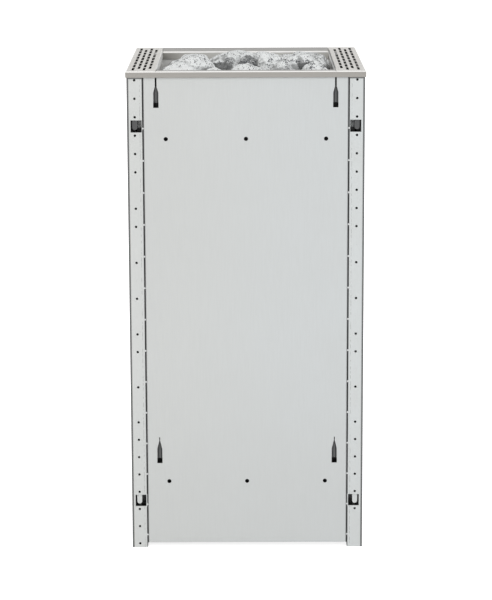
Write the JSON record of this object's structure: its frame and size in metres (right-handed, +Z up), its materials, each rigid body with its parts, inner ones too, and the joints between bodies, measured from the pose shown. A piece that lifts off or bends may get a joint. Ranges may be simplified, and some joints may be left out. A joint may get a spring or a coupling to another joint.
{
  "type": "sauna heater stove",
  "caption": "Upright electric sauna heater body of perforated corner posts and flat sheet panels, with a slotted top frame around an open stone well heaped with stones.",
  "frame": {"origin": "centre of the footprint on the floor, under the posts' cut ends", "axes": "+Z up the posts, -Y out of the panel with the hanging slots, which the picture shows"},
  "size_m": [0.454, 0.454, 0.9548],
  "materials": {
    "galvanised": "galvanised, satin",
    "panel_sheet": "smooth coated sheet, satin",
    "stainless": "fine brushed",
    "element_sheath": "heat-darkened",
    "brass": "bright turned",
    "ceramic": "matt",
    "sleeve": "braided glass",
    "stone": "broken, speckled"
  },
  "bodies": {
    "heater": {"post_wall_left": "galvanised", "post_wall_right": "galvanised", "post_room_left": "galvanised", "post_room_right": "galvanised", "shield_wall": "galvanised", "shield_room": "galvanised", "shield_left": "galvanised", "shield_right": "galvanised", "element_deck": "galvanised", "heat_shield_deck": "galvanised", "base_deck": "galvanised", "tray_rail_left": "galvanised", "tray_rail_right": "galvanised", "terminal_box": "galvanised", "terminal_cover": "galvanised", "panel_wall": "panel_sheet", "panel_room": "panel_sheet", "panel_left": "panel_sheet", "panel_right": "panel_sheet", "stone_tray": "stainless", "stone_grate": "stainless", "heating_element_1": "element_sheath", "heating_element_2": "element_sheath", "heating_element_3": "element_sheath", "heating_element_4": "element_sheath", "heating_element_5": "element_sheath", "heating_element_6": "element_sheath", "neutral_bar": "brass", "phase_bar_1": "brass", "phase_bar_2": "brass", "phase_bar_3": "brass", "cable_gland": "brass", "gland_nut": "brass", "earth_stud": "brass", "terminal_block": "ceramic", "wiring_loom": "sleeve", "stone_01": "stone", "stone_02": "stone", "stone_03": "stone", "stone_04": "stone", "stone_05": "stone", "stone_06": "stone", "stone_07": "stone", "stone_08": "stone", "stone_09": "stone", "stone_10": "stone", "stone_11": "stone", "stone_12": "stone", "stone_13": "stone", "stone_14": "stone", "stone_15": "stone", "stone_16": "stone", "stone_17": "stone", "stone_bed_near": "stone", "stone_bed_middle": "stone", "stone_bed_far": "stone"},
    "top_frame": {"vent_strip_left": "stainless", "vent_strip_right": "stainless", "frame_rail_wall": "stainless", "frame_rail_room": "stainless"}
  },
  "joints": [
    {"name": "top_frame_lift", "type": "slide", "parent": "heater", "child": "top_frame", "axis": [0, 0, 1], "range_m": [0, 0.15]}
  ]
}
